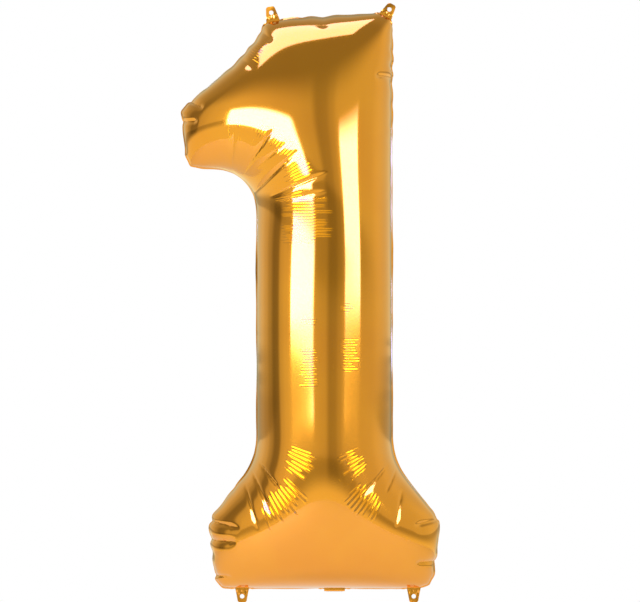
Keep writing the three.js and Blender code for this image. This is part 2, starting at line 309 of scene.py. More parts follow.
def smooth_ring(ring, times):
    for _ in range(times):
        ring = (np.roll(ring, 1, 0) + 2 * ring + np.roll(ring, -1, 0)) / 4
    return ring


def outwards(ring):
    along = np.roll(ring, -1, 0) - np.roll(ring, 1, 0)
    normal = np.column_stack([along[:, 1], -along[:, 0]])
    return normal / np.linalg.norm(normal, axis=1)[:, None]


def even_ring(ring, step, inset=0.0, count=None):
    """The ring with count points, or points a step apart, moved inwards by inset."""
    closed = np.concatenate([ring, ring[:1]])
    run = np.concatenate([[0], np.cumsum(np.linalg.norm(np.diff(closed, axis=0), axis=1))])
    count = count or round(run[-1] / step)
    at = np.arange(count) * run[-1] / count
    even = np.column_stack([np.interp(at, run, closed[:, k]) for k in (0, 1)])
    return even - outwards(even) * inset


def inside(points, ring):
    x, y = points.T
    found = np.zeros(len(points), bool)
    for (x1, y1), (x2, y2) in zip(ring, np.roll(ring, -1, 0)):
        if y1 != y2:
            found ^= ((y1 > y) != (y2 > y)) & (x < (x2 - x1) * (y - y1) / (y2 - y1) + x1)
    return found


CLEAR_OF_RING = 0.62     # share of a step that a mesh's inner points keep from its rings


def triangulate(rings, step):
    """Even triangles inside the first ring and outside the others. The rings come first."""
    edge = np.concatenate(rings)
    low, high = edge.min(0), edge.max(0)
    rows = []
    for r, y in enumerate(np.arange(low[1], high[1], step * math.sqrt(3) / 2)):
        xs = np.arange(low[0] + (r % 2) * step / 2, high[0], step)
        rows.append(np.column_stack([xs, np.full(len(xs), y)]))
    fill = np.concatenate(rows)
    fill = fill[inside(fill, rings[0])]
    for hole in rings[1:]:
        fill = fill[~inside(fill, hole)]
    near = np.sqrt(((fill[:, None] - edge[None]) ** 2).sum(2)).min(1)
    points = np.concatenate([edge, fill[near > CLEAR_OF_RING * step]])
    lines, first = [], 0
    for ring in rings:
        n = len(ring)
        lines += [(first + i, first + (i + 1) % n) for i in range(n)]
        first += n
    made = delaunay_2d_cdt([Vector(p) for p in points], lines, [], 0, 1e-6)
    triangles = np.array([face for face in made[2] if len(face) == 3])
    middles = points[triangles].mean(1)
    keep = inside(middles, rings[0])
    for hole in rings[1:]:
        keep &= ~inside(middles, hole)
    triangles = triangles[keep]
    a, b, c = (points[triangles[:, k]] for k in range(3))
    turned = (b - a)[:, 0] * (c - a)[:, 1] - (b - a)[:, 1] * (c - a)[:, 0] < 0
    triangles[turned] = triangles[turned][:, ::-1]
    return points, triangles


class TwoSheets:
    """Two sheets of film on one flat mesh, which share the points of the welded ring."""

    def __init__(self, flat, triangles, ring_count):
        n = len(flat)
        self.sheet_count, self.ring_count = n, ring_count
        self.back = np.concatenate([np.arange(ring_count), n + np.arange(n - ring_count)])
        self.triangles = np.concatenate([triangles, self.back[triangles][:, ::-1]])
        self.count = 2 * n - ring_count
        pairs = np.sort(self.triangles[:, [[0, 1], [1, 2], [2, 0]]].reshape(-1, 2), axis=1)
        keys = np.unique(pairs[:, 0].astype(np.int64) * self.count + pairs[:, 1])
        a, b = keys // self.count, keys % self.count
        ends = np.concatenate([np.column_stack([a, b]), np.column_stack([b, a])])
        ends = ends[np.argsort(ends[:, 0], kind="stable")]
        self.here, self.there = ends[:, 0].copy(), ends[:, 1].copy()
        links = np.bincount(self.here, minlength=self.count)
        self.first_link = np.concatenate([[0], np.cumsum(links)[:-1]])
        self.share = (1 / links).astype(np.float32)
        corners = self.triangles.T.ravel()
        order = np.argsort(corners, kind="stable")
        self.faces_round = np.tile(np.arange(len(self.triangles)), 3)[order]
        self.first_face = np.concatenate([[0], np.cumsum(np.bincount(corners))[:-1]])
        self.lay(flat)

    def lay(self, flat):
        both = np.concatenate([flat, flat[self.ring_count:]])
        self.length = np.linalg.norm(both[self.there] - both[self.here], axis=1).astype(np.float32)

    def around(self, values):
        return np.add.reduceat(values, self.first_link, axis=1) * self.share

    def area_vectors(self, at):
        a, b, c = (at[:, self.triangles[:, k]] for k in range(3))
        u, w = b - a, c - a
        normal = np.stack([u[1] * w[2] - u[2] * w[1], u[2] * w[0] - u[0] * w[2],
                           u[0] * w[1] - u[1] * w[0]])
        return np.add.reduceat(normal[:, self.faces_round], self.first_face, axis=1) / 6

    def blow(self, at, steps, pressure, end_pressure, stiffness):
        """Lets the film settle under gas. at is 3 x points; stiffness resists tight bends."""
        speed = np.zeros_like(at)
        gain = np.float32((1 - LOOSE) * GAIN)
        for i in range(steps):
            if i % GAS_EVERY == 0:
                now = pressure * (end_pressure / pressure) ** (i / steps)
                push = self.area_vectors(at) * np.float32(now)
            reach = at[:, self.there] - at[:, self.here]
            length = np.sqrt((reach * reach).sum(0))
            bend = self.around(reach)
            twist = self.around(bend[:, self.there]) - bend
            pull = self.around(reach * (0.5 * (length - self.length) / length))
            speed = speed * np.float32(LOOSE) + gain * (pull + push - np.float32(stiffness) * twist)
            at = at + speed
        return at


def relax_inside(film, ring, inner, times):
    """Spreads the flat sheet's inner points evenly inside its ring."""
    n, m = film.sheet_count, film.ring_count
    flat_links = (film.here < n) & (film.there < n)
    there = film.there[flat_links]
    links = np.bincount(film.here[flat_links], minlength=n)
    first = np.concatenate([[0], np.cumsum(links)[:-1]])
    flat = np.concatenate([ring, inner]).T.copy()
    for _ in range(times):
        flat[:, m:] = (np.add.reduceat(flat[:, there], first, axis=1) / links)[:, m:]
    return flat.T


def find_cut(outline, chance):
    """The flat cut whose welded ring lies on the outline once it is blown up."""
    points, triangles = triangulate([outline], FILM_STEP)
    m = len(outline)
    film = TwoSheets(points, triangles, m)
    ring = outline + smooth_ring(outwards(outline), 6) * CUT_ALLOWANCE
    flat = relax_inside(film, ring, points[m:], times=400)
    film.lay(flat)
    both = np.concatenate([flat, flat[m:]])
    at = np.zeros((3, film.count), np.float32)
    at[0], at[2] = both.T
    at[1, m:film.sheet_count] = -0.5
    at[1, film.sheet_count:] = 0.5
    at[1] += chance.normal(0, FIRST_RUMPLE, film.count).astype(np.float32)
    at = film.blow(at, FIRST_STEPS, FIRST_GAS, FULL_GAS, COARSE_STIFFNESS)
    flat, at = trim_cut(film, flat, at, outline, rounds=18, even_out=2)
    return flat, triangles, film, at


def trim_cut(film, flat, at, outline, rounds, even_out):
    """Moves the cut by what the blown ring is away from the outline, a few times over."""
    m = film.ring_count
    for _ in range(rounds):
        at = film.blow(at, TRIM_STEPS, FULL_GAS, FULL_GAS, COARSE_STIFFNESS)
        gap = smooth_ring(outline - at[[0, 2], :m].T, even_out)
        flat = relax_inside(film, flat[:m] + TRIM_SHARE * gap, flat[m:], times=60)
        film.lay(flat)
    return flat, at


def halve(count, ring_count, triangles):
    """Each triangle becomes four. Gives the new mesh, where each old point went, where the new
    ones went, and the old pair that each new one is halfway between. Ring points stay first."""
    pairs = np.sort(triangles[:, [[0, 1], [1, 2], [2, 0]]].reshape(-1, 2), axis=1)
    keys, which = np.unique(pairs[:, 0].astype(np.int64) * count + pairs[:, 1], return_inverse=True)
    ends = np.column_stack([keys // count, keys % count])
    i = np.arange(ring_count)
    j = (i + 1) % ring_count
    on_ring = np.searchsorted(keys, np.minimum(i, j).astype(np.int64) * count + np.maximum(i, j))
    old_place = np.concatenate([2 * i, ring_count + np.arange(ring_count, count)])
    new_place = np.full(len(keys), -1)
    new_place[on_ring] = 2 * i + 1
    inner = new_place < 0
    new_place[inner] = count + ring_count + np.arange(inner.sum())
    mid = new_place[which.reshape(-1, 3)]
    old = old_place[triangles]
    finer = np.concatenate([
        np.column_stack([old[:, 0], mid[:, 0], mid[:, 2]]),
        np.column_stack([mid[:, 0], old[:, 1], mid[:, 1]]),
        np.column_stack([mid[:, 2], mid[:, 1], old[:, 2]]),
        mid])
    return finer, old_place, new_place, ends


def spread(values, old_place, new_place, ends):
    made = np.empty((len(old_place) + len(new_place), values.shape[1]), values.dtype)
    made[old_place] = values
    made[new_place] = (values[ends[:, 0]] + values[ends[:, 1]]) / 2
    return made


chance = np.random.default_rng(5)
edge_ring = cut_edge("front_panel")
seam_line = even_ring(edge_ring, 3.0, SEAM_INSET)
flat, triangles, film, at = find_cut(even_ring(seam_line, FILM_STEP), chance)
for level in range(FINER_MESHES):
    n, m = film.sheet_count, film.ring_count
    front, back = at[:, :n].T, at[:, film.back].T
    coarse = triangles
    triangles, old_place, new_place, ends = halve(n, m, triangles)
    flat, front, back = (spread(v, old_place, new_place, ends) for v in (flat, front, back))
    film = TwoSheets(flat, triangles, 2 * m)
    at = np.concatenate([front, back[2 * m:]]).T
    if level == 0:
        at += chance.normal(0, FINER_RUMPLE, at.shape).astype(np.float32)
    at = np.ascontiguousarray(at)
    at = film.blow(at, FINER_STEPS[level], FULL_GAS, FULL_GAS, FINER_STIFFNESS[level])
    if level == 0:
        finer_outline = even_ring(seam_line, None, count=2 * m)
        flat, at = trim_cut(film, flat, at, finer_outline, rounds=10, even_out=3)
coarse_wall = old_place[coarse]
RING = film.ring_count
SHEETS = {"front": at[:, :film.sheet_count].T.astype(float), "back": at[:, film.back].T.astype(float)}


def sheet_normals(points, faces):
    a, b, c = (points[faces[:, k]] for k in range(3))
    normal = np.cross(b - a, c - a)
    total = np.zeros_like(points)
    for k in range(3):
        np.add.at(total, faces[:, k], normal)
    return total / np.maximum(np.linalg.norm(total, axis=1), 1e-9)[:, None]


def channel_lift(x):
    """How far the film stands off its weld where the valve's sleeve passes through it."""
    tail_x = joints["filling_tail_fold"]["pos_m"][0] / MM
    return CHANNEL_LIFT * np.clip((CHANNEL_HALF + CHANNEL_RAMP - abs(x - tail_x)) / CHANNEL_RAMP, 0, 1)


# Landmarks of the outline: the upright's two edges, taken within 150 mm of the outline's median
# height, the bottom edge and the corner where the flag leaves the upright.
stem = edge_ring[abs(edge_ring[:, 1] - np.median(edge_ring[:, 1])) < 150]
STEM_LEFT, STEM_RIGHT = stem[:, 0].min(), stem[:, 0].max()
STEM_MIDDLE = (STEM_LEFT + STEM_RIGHT) / 2
BOTTOM = edge_ring[:, 1].min()
FLAG_ROOT = np.array([STEM_LEFT, BOTTOM + 605])
FLARE = 187              # height above the bottom edge at which the foot begins to widen

# Creases: long sharp valleys, pressed into the film where it is gathered round the inner
# corners. Each is (distance from the fan's middle to its near end, to its far end, angle at
# the near end, angle at the far end, half width, depth). Angles run from straight down.
FANS = {
    "flag": (FLAG_ROOT + (-36, -54), [
        (56, 112, 178, 176, 1.6, 1.6), (52, 128, 160, 150, 1.8, 2.6), (66, 122, 146, 138, 1.4, 1.4),
        (38, 128, 122, 129, 1.8, 2.8), (60, 150, 104, 109, 1.6, 1.8), (80, 140, 97, 99, 1.4, 1.2)]),
    "foot_left": (np.array([STEM_LEFT - 34, BOTTOM + FLARE + 54]), [
        (68, 116, 36, 38, 1.8, 2.2), (72, 146, 24, 25, 1.8, 2.2), (88, 156, 13, 15, 1.6, 1.8)]),
    "foot_right": (np.array([STEM_RIGHT + 34, BOTTOM + FLARE + 54]), [
        (68, 130, -36, -38, 1.6, 1.6), (96, 150, -13, -12, 1.6, 1.6), (70, 110, -24, -25, 1.4, 1.2)]),
}

# Notches, where the border has buckled inwards. Each is (right of the upright's middle, above
# the bottom edge, angle inwards from straight down, length, half width, depth).
NOTCHES = [
    (-1, 824, 0, 18, 9, 1.8), (-89, 806, 38, 24, 5, 2.5), (-117, 764, 45, 24, 7, 1.2),
    (-190, 704, 60, 20, 3, 3.5), (-201, 676, 90, 20, 3, 4), (95, 740, -90, 22, 4, 3),
    (-163, 100, 80, 44, 4, 4), (-159, 73, 90, 34, 4, 5), (-156, 21, 90, 24, 3, 3.5),
    (162, 102, -80, 34, 4, 3.5), (157, 42, -90, 26, 4, 4.5),
]


def crease_depth(x, z, start, stop, width, depth):
    """Depth of a valley from start to stop, with tapered ends, at each point."""
    run = stop - start
    length = np.linalg.norm(run)
    run = run / length
    along = ((x - start[0]) * run[0] + (z - start[1]) * run[1]) / length
    off = abs((x - start[0]) * run[1] - (z - start[1]) * run[0])
    taper = np.clip(np.minimum(along, 1 - along) * 4, 0, 1)
    return depth * taper * np.exp(-off / width)


# Combs of fine pleats: (middle that they point to, angles of first and last, distances of their
# near and far ends from it, pitch, depth). Angles are from straight down, towards the right.
PITCH = 4.2
BACK_PLEATS = 0.5        # how deep the back film's pleats are, against the front's
COMBS = [
    (FANS["flag"][0], (168, 186), (88, 122), PITCH, 0.10),
    (FANS["flag"][0], (126, 160), (92, 138), PITCH, 0.15),
    (FANS["flag"][0], (108, 126), (84, 134), PITCH, 0.20),
    (FANS["flag"][0], (94, 108), (60, 132), PITCH, 0.18),
    (FANS["foot_left"][0], (20, 48), (100, 168), 6.4, 0.36),
    (FANS["foot_left"][0], (52, 72), (84, 136), 5.4, 0.26),
    (FANS["foot_right"][0], (-46, -24), (104, 160), 6.0, 0.32),
    (FANS["foot_right"][0], (-70, -50), (84, 130), 5.2, 0.24),
    (np.array([STEM_MIDDLE - 360, BOTTOM + 942]), (54.6, 61.6), (300, 326), 4.0, 0.22),
]
# Combs of level pleats: (heights above the bottom edge, from and to; distances from the
# upright's left edge, from and to; pitch, depth).
LEVEL_COMBS = [
    ((500, 566), (32, 118), 4.2, 0.17),
    ((296, 352), (60, 96), 3.8, 0.16), ((318, 364), (116, 152), 3.8, 0.16),
    ((402, 414), (120, 144), 3.8, 0.12), ((384, 394), (60, 100), 3.8, 0.12),
]
SHARE_FADE = 0.12        # share of a pleat's length over which it runs out past either end
ANGLE_FADE = 2.5         # degrees over which a comb runs out towards its first and last pleat
HEIGHT_FADE = 5          # the same for a comb of level pleats, in height
COUNT_FROM = 200         # where the count of pleats starts, which picks each one's random ends
LEVEL_COUNT_FROM = 50


def comb_values(x, z):
    """Count across the pleats, share along them and depth, for each point. Round each comb a
    margin of points has its count and share with no depth, so that its end pleats run out."""
    values = np.zeros((len(x), 3))
    rank = np.zeros(len(x))

    def lay(count, share, edge, margin, depth):
        reach = np.clip(np.minimum(share + SHARE_FADE, 1 + SHARE_FADE - share) / SHARE_FADE, 0, 1)
        deep = np.clip(edge, 0, 1) * reach * depth
        near = (edge > -margin) & (share > -0.5) & (share < 1.5)
        use = near & (deep + 1e-4 > rank)
        rank[use] = deep[use] + 1e-4
        values[use] = np.column_stack([count, share, deep])[use]

    for middle, (first, last), (near, far), pitch, depth in COMBS:
        dx, dz = x - middle[0], z - middle[1]
        angle = np.degrees(np.arctan2(dx, -dz))
        count = np.radians(angle) * (near + far) / 2 / pitch + COUNT_FROM
        edge = np.minimum(angle - min(first, last), max(first, last) - angle) / ANGLE_FADE
        lay(count, (np.hypot(dx, dz) - near) / (far - near), edge, margin=4, depth=depth)
    for (low, high), (left, right), pitch, depth in LEVEL_COMBS:
        rise = z - BOTTOM
        edge = np.minimum(rise - low, high - rise) / HEIGHT_FADE
        share = (x - STEM_LEFT - left) / (right - left)
        lay(rise / pitch + LEVEL_COUNT_FROM, share, edge, margin=2, depth=depth)
    return values


def film_object(name, points, faces, materials, face_materials=None, pleats=None):
    """points are in mm."""
    mesh = bpy.data.meshes.new(name)
    mesh.from_pydata((np.asarray(points) * MM).tolist(), [], np.asarray(faces).tolist())
    for material in materials:
        mesh.materials.append(material)
    if face_materials is not None:
        mesh.polygons.foreach_set("material_index", face_materials)
    mesh.shade_smooth()
    mesh.set_sharp_from_angle(angle=math.radians(70))
    if pleats is not None:
        attribute = mesh.attributes.new("pleats", "FLOAT_VECTOR", "POINT")
        attribute.data.foreach_set("vector", pleats.ravel())
    piece = bpy.data.objects.new(name, mesh)
    scene.collection.objects.link(piece)
    return piece


def ring_wall(lower, upper):
    """Triangles between two rings of equal count."""
    n = len(lower)
    i, j = np.arange(n), (np.arange(n) + 1) % n
    return np.concatenate([np.column_stack([lower[i], lower[j], upper[j]]),
                           np.column_stack([lower[i], upper[j], upper[i]])])


WELD_ROWS = (0.12, 0.35, 0.7, 1.0)     # shares of the border's width
TAIL_ROOT, TAB_ROOT = 17, 11           # half widths of border held straight
HELD_FADE = 8            # how far past them the hold runs out
SEAM_GAP = 0.02          # between the seam's plane and the inner side of each sheet's border
ROOTS = [(joint["pos_m"][0] / MM, joint["pos_m"][2] / MM, TAIL_ROOT if "tail" in name else TAB_ROOT)
         for name, joint in joints.items()]


def held_straight(seam):
    """1 where a tab or the tail holds the border straight, 0 a little way from them."""
    held = np.zeros(len(seam))
    for x, z, half in ROOTS:
        away = np.hypot(seam[:, 0] - x, seam[:, 2] - z)
        held = np.maximum(held, np.clip((half + HELD_FADE - away) / HELD_FADE, 0, 1))
    return held * held * (3 - 2 * held)


def press_film(skin, normal):
    """Presses the creases into one sheet, and the notches into it and its seam."""
    x, z = skin[:, 0], skin[:, 2]
    height = np.zeros(len(skin))
    for middle, creases in FANS.values():
        for near, far, angle, far_angle, width, depth in creases:
            start, stop = (middle + distance * np.array([math.sin(a), -math.cos(a)])
                           for distance, a in ((near, math.radians(angle)), (far, math.radians(far_angle))))
            height -= crease_depth(x, z, start, stop, width, depth)
    height[:RING] = 0
    for off_middle, rise, angle, length, width, depth in NOTCHES:
        a = math.radians(angle)
        inwards = np.array([math.sin(a), -math.cos(a)])
        at = np.array([STEM_MIDDLE + off_middle, BOTTOM + rise])
        height -= crease_depth(x, z, at - inwards * length / 3, at + inwards * length, width, depth)
    return skin + normal * height[:, None]


def envelope_film(side):
    """One sheet as a closed solid: outer skin, welded border, cut edge and inner wall. Gives
    the places of its cut edge on the seam's plane."""
    sign = -1 if side == "front" else 1
    outer_faces = triangles if side == "front" else triangles[:, ::-1]
    inner_faces = (coarse_wall if side == "front" else coarse_wall[:, ::-1])[:, ::-1]
    skin = SHEETS[side]
    normal = sheet_normals(skin, outer_faces)
    out = smooth_ring(outwards(skin[:RING, [0, 2]]), 6)
    out /= np.linalg.norm(out, axis=1)[:, None]
    out = np.column_stack([out[:, 0], np.zeros(RING), out[:, 1]])
    normal[:RING] = out
    skin = press_film(skin, normal)
    pleats = comb_values(skin[:, 0], skin[:, 2])
    if side == "back":
        pleats[:, 2] *= BACK_PLEATS
    seam = skin[:RING].copy()
    held = held_straight(seam)
    run = 2 * math.pi * np.arange(RING) / RING
    wander = np.sin(9 * run + 1.0) * 0.6 + np.sin(23 * run + 2.5) * 0.4
    curl = np.radians(WELD_CURL - CURL_WANDER * wander) * (1 - held)
    width = WELD_WIDTH + (ROOT_WELD - WELD_WIDTH) * held
    back = np.array([0.0, 1.0, 0.0])
    along = out * np.cos(curl)[:, None] + back * np.sin(curl)[:, None]
    across = back * np.cos(curl)[:, None] - out * np.sin(curl)[:, None]
    stand = channel_lift(seam[:, 0]) * (seam[:, 2] < BOTTOM + 20)

    def border_row(far, film):
        return seam + along * (far * width)[:, None] + across * (sign * (film + stand))[:, None]

    skin[:RING] = border_row(0.0, FILM_THICKNESS)
    rows = [np.arange(RING)]
    points = [skin]
    count = len(skin)
    inner_rows = [(1.0, SEAM_GAP), (0.0, SEAM_GAP)]
    for far, film in [(far, FILM_THICKNESS) for far in WELD_ROWS] + inner_rows:
        points.append(border_row(far, film))
        rows.append(count + np.arange(RING))
        count += RING
    faces = [outer_faces]
    kinds = [np.zeros(len(outer_faces), np.int32)]
    for low, high in zip(rows, rows[1:]):
        wall = ring_wall(high, low) if side == "front" else ring_wall(low, high)
        faces.append(wall)
        kinds.append(np.ones(len(wall), np.int32))
    used = np.unique(inner_faces)
    used = used[used >= RING]
    inner_id = np.full(len(skin), -1)
    inner_id[used] = count + np.arange(len(used))
    depth = np.minimum(INNER_WALL, 0.25 * abs(skin[used, 1]))
    points.append(skin[used] - normal[used] * depth[:, None])
    inner_id[:RING] = rows[-1]
    wall = inner_id[inner_faces]
    i = np.arange(0, RING, 2)
    gap = np.column_stack([rows[-1][i], rows[-1][i + 1], rows[-1][(i + 2) % RING]])
    gap = gap[:, ::-1] if side == "front" else gap
    faces += [wall, gap]
    kinds += [np.zeros(len(wall) + len(gap), np.int32)]
    points = np.concatenate(points)
    full = np.zeros((len(points), 3))
    full[:len(pleats)] = pleats
    piece = film_object(f"{side}_film", points, np.concatenate(faces), (GOLD_FILM, GOLD_WELD),
                        np.concatenate(kinds), full)
    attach(piece, "envelope")
    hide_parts(f"{side}_panel")
    return seam + along * width[:, None]


CUT_EDGE = envelope_film("front")
envelope_film("back")

# ---------------------------------------------------------------------------------------------
# Four punched tabs: tongues of both sheets' film that the die leaves on the border, welded
# together and punched. Each is shaped to run on from the border's lie at its root, with its own curl, twist
# and crease.
# ---------------------------------------------------------------------------------------------
TAB = {"root": 10.0, "tip": 6.75, "length": 17.0, "tip_round": 4.0, "hole": 3.25, "hole_at": 8.0}
TAB_FILM = 0.22
TAB_GAP = 0.015          # between the seam's plane and each ply
LEVELLING = 6            # length over which the tab comes back from the border's lie
TAB_STEP = 0.9
TAB_OVERLAP = 0.4        # how far the tab's film runs into the border
FLAT_ROOT = 4.0          # how far the flat tongue reaches behind its hinge, before it is fitted
FITTED = 3.0             # how far past the hinge the fitting to the border runs out
TAB_CURLS = {            # forward curl at the tip, twist in degrees, crease depth
    "hanging_tab_left": (2.6, 16, 0.5),
    "hanging_tab_right": (-2.2, -20, 0.5),
    "weight_tab_left": (0.5, 4, 0.25),
    "weight_tab_right": (1.2, -14, 0.3),
}


def tab_frame(joint):
    """Hinge point, direction along the root and direction out of the border, in mm."""
    at = np.array(joint["pos_m"]) / MM
    along = np.array(joint["axis"])
    return at, along, np.array([-along[2], 0, along[0]])


def edge_from_hinge(at, along, out, half):
    """The cut edge near a hinge: places along the root, distance out of it, and y."""
    away = CUT_EDGE - at
    u, v = away @ along, away @ out
    near = (abs(u) < half + 6) & (abs(v) < 12)
    order = np.argsort(u[near])
    return u[near][order], v[near][order], away[near][:, 1][order]


def arc_points(middle, radius, start, stop, count):
    angles = np.radians(np.linspace(start, stop, count))
    return middle + radius * np.column_stack([np.cos(angles), np.sin(angles)])


def tab_rings():
    """The tab's outline and its punched hole, in the plane of root and outward direction."""
    r = TAB["tip_round"]
    tip = TAB["length"] - r
    corner = TAB["tip"] - r
    outline = np.concatenate([
        [(-TAB["root"], -FLAT_ROOT), (TAB["root"], -FLAT_ROOT)],
        arc_points((corner, tip), r, 0, 90, 7), arc_points((-corner, tip), r, 90, 180, 7)])
    hole = arc_points((0, TAB["hole_at"]), TAB["hole"], 0, 360, 37)[:-1]
    return even_ring(outline, TAB_STEP), hole


def close_film(flat, faces, ring_sizes, place):
    """A closed sheet of film from a flat mesh. place gives the points of a ply's face that is
    nearer to the seam's plane (0) or away from it (1)."""
    n = len(flat)
    points = np.concatenate([place(flat, 1), place(flat, 0)])
    walls, first = [], 0
    for size in ring_sizes:
        ring = first + np.arange(size)
        walls.append(ring_wall(ring + n, ring))
        first += size
    return points, np.concatenate([faces, faces[:, ::-1] + n] + walls)


def make_tab(body):
    at, along, out = tab_frame(joints[body + "_bend"])
    u_edge, v_edge, y_edge = edge_from_hinge(at, along, out, TAB["root"])
    outline, hole = tab_rings()
    flat, faces = triangulate([outline, hole], TAB_STEP)
    curl, twist, crease = TAB_CURLS[body]
    start = np.interp(flat[:, 0], u_edge, v_edge) - TAB_OVERLAP
    top = TAB["length"]
    run = flat[:, 1] + FLAT_ROOT
    v = start + run * (top - start) / (top + FLAT_ROOT)
    v = v + (flat[:, 1] - v) * np.clip(run / (FLAT_ROOT + FITTED), 0, 1)
    share = np.clip((v - start) / LEVELLING, 0, 1)
    free = np.clip(v, 0, top) / top
    y = np.interp(flat[:, 0], u_edge, y_edge) * (1 - share * share * (3 - 2 * share))
    y = y - curl * free ** 1.5 + np.tan(math.radians(twist)) * flat[:, 0] * free
    y = y + crease * np.sin(flat[:, 0] * 0.9 + 1.0) * np.exp(-((v - 2.5) / 2.5) ** 2)
    for side, sign in (("front", -1), ("back", 1)):
        def place(flat, face):
            stand = sign * (TAB_GAP + face * TAB_FILM)
            return at + np.outer(flat[:, 0], along) + np.outer(v, out) + np.outer(y + stand, (0, 1, 0))

        turned = faces if (sign < 0) == (np.cross(along, out)[1] < 0) else faces[:, ::-1]
        points, closed = close_film(flat, turned, (len(outline), len(hole)), place)
        piece = film_object(f"{body}_{side}_film", points, fix_faces(points, closed), (GOLD_WELD,))
        finish_tab(piece, body, side, at, out)


def fix_faces(points, faces):
    """Turns a closed solid's faces to point outwards, if they all point in."""
    a, b, c = (points[faces[:, k]] for k in range(3))
    volume = (a * np.cross(b, c)).sum()
    return faces if volume > 0 else faces[:, ::-1]


def finish_tab(piece, body, side, at, out):
    """Hides the tab's imported ply and bakes the piece's placement into its mesh."""
    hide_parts(f"{body}_{side}_ply")
    start, end = (at - out * 1.0) * MM, (at + out * 2.5) * MM
    tuple(start)
    tuple(end)
    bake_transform(piece)


for body in TAB_CURLS:
    make_tab(body)

# ---------------------------------------------------------------------------------------------
# Filling tail: a strip of both sheets that the gas nozzle goes into, welded along both sides
# and open between them for the valve's sleeve. After filling it is folded back under the foot.
# ---------------------------------------------------------------------------------------------
TAIL = {"half": 15.0, "length": 45.0, "fold_round": 1.0, "step": 1.3, "gap": 0.03, "sleeve_lift": 0.45,
        "ripple": 0.35}


def make_tail():
    at, along, out = tab_frame(joints["filling_tail_fold"])
    u_edge, v_edge, y_edge = edge_from_hinge(at, along, out, TAIL["half"])
    half, length = TAIL["half"], TAIL["length"]
    corners = [(-half, -FLAT_ROOT), (half, -FLAT_ROOT), (half, length), (-half, length)]
    outline = even_ring(np.array(corners), TAIL["step"])
    flat, faces = triangulate([outline], TAIL["step"])
    u = flat[:, 0]
    start = np.interp(u, u_edge, v_edge) - TAB_OVERLAP
    v = np.where(flat[:, 1] > 0, flat[:, 1], start * flat[:, 1] / -FLAT_ROOT)
    y_root = np.interp(u, u_edge, y_edge) * np.clip(v / start, 0, 1)
    lift = TAIL["sleeve_lift"] * np.clip((CHANNEL_HALF + CHANNEL_RAMP - abs(u)) / CHANNEL_RAMP, 0, 1)
    bend = TAIL["fold_round"]
    turn = np.clip((v / bend + 1) / 2, 0, 1) * math.pi / 2
    back = np.where(v > bend, v, bend * (1 - np.cos(turn)) * (v > -bend))
    down = np.where(v < -bend, v, np.where(v > bend, 0.0, bend * (np.sin(turn) - 1)))
    ripple = TAIL["ripple"] * np.sin(v * 0.42 + 0.6) * np.cos(u * 0.21) * np.clip(v / 12, 0, 1)
    for side, sign in (("front", -1), ("back", 1)):
        def place(flat, face):
            stand = sign * (TAIL["gap"] + lift + face * TAB_FILM)
            points = at + np.outer(u, along) + np.outer(down, out) + np.outer(back + y_root, (0, 1, 0))
            points[:, 1] += stand * np.cos(turn)
            points[:, 2] += stand * np.sin(turn) + ripple
            return points

        points, closed = close_film(flat, faces, (len(outline),), place)
        piece = film_object(f"filling_tail_{side}_film", points, fix_faces(points, closed), (GOLD_WELD,))
        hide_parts(f"filling_tail_{side}_ply")
        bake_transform(piece)


make_tail()

# ---------------------------------------------------------------------------------------------
# Valve: a lay-flat sleeve of clear film, welded in between the sheets where the tail leaves the
# envelope. Gas presses its plies shut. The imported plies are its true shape, so they stay.
# ---------------------------------------------------------------------------------------------
CLEAR_FILM = (0.86, 0.86, 0.82)
MILKY_FILM = (0.74, 0.75, 0.72)
VALVE_PEEL = 0.00003


def make_valve_film():
    material, tree, shader = blank_material("valve_film")
    grain = group_node(tree, FILM_GRAIN, Drift_Scale=60.0, Peel_Scale=900.0)
    tint_and_dull(tree, shader, grain, (CLEAR_FILM, MILKY_FILM), (0.22, 0.42))
    shader.inputs["Transmission Weight"].default_value = 0.6
    shader.inputs["IOR"].default_value = 1.45
    bump_by(tree, shader, grain.outputs["Height"], VALVE_PEEL)
    return material


VALVE_FILM = make_valve_film()
for name, node in frame["nodes"].items():
    if name.startswith("valve_"):
        node.data.materials.clear()
        node.data.materials.append(VALVE_FILM)

# ---------------------------------------------------------------------------------------------
# Studio: a pale floor below the hanging balloon, two tall softboxes in front, two weaker ones
# behind, one above, and a white room that is dimmer behind the camera.
# ---------------------------------------------------------------------------------------------
FLOOR_DROP = 0.20
FLOOR_RADIUS = 1.5
FLOOR_COLOUR = (0.95, 0.91, 0.62)
FLOOR_LIGHT = 0.17       # the floor's own faint light
COOL_WHITE = (0.95, 0.93, 2.2)
WARM_WHITE = (1.0, 0.93, 0.55)
# Each upright softbox is (azimuth in degrees from the camera's side towards +X, distance, width,
# low edge and high edge above the balloon's middle, brightness, shares of its width and height
# over which it dims towards its left, right, low and high edges).
SOFTBOXES = {
    "left_softbox": (-37, 2.0, 1.52, -0.062, 0.80, 6.0, (0.04, 0.12, 0.036, 0.2)),
    "right_softbox": (47, 2.0, 1.06, -0.048, 0.90, 4.4, (0.1, 0.08, 0.036, 0.4)),
    "back_right_softbox": (171, 2.2, 0.46, -0.25, 0.80, 3.2, (0.12, 0.12, 0.2, 0.3)),
    "back_left_softbox": (-170, 2.2, 0.26, -0.15, 0.70, 2.4, (0.15, 0.15, 0.2, 0.3)),
}
TOP_SOFTBOX = {"place": (-0.3, -0.05, 1.5), "width": 1.5, "depth": 0.75, "brightness": 2.0}
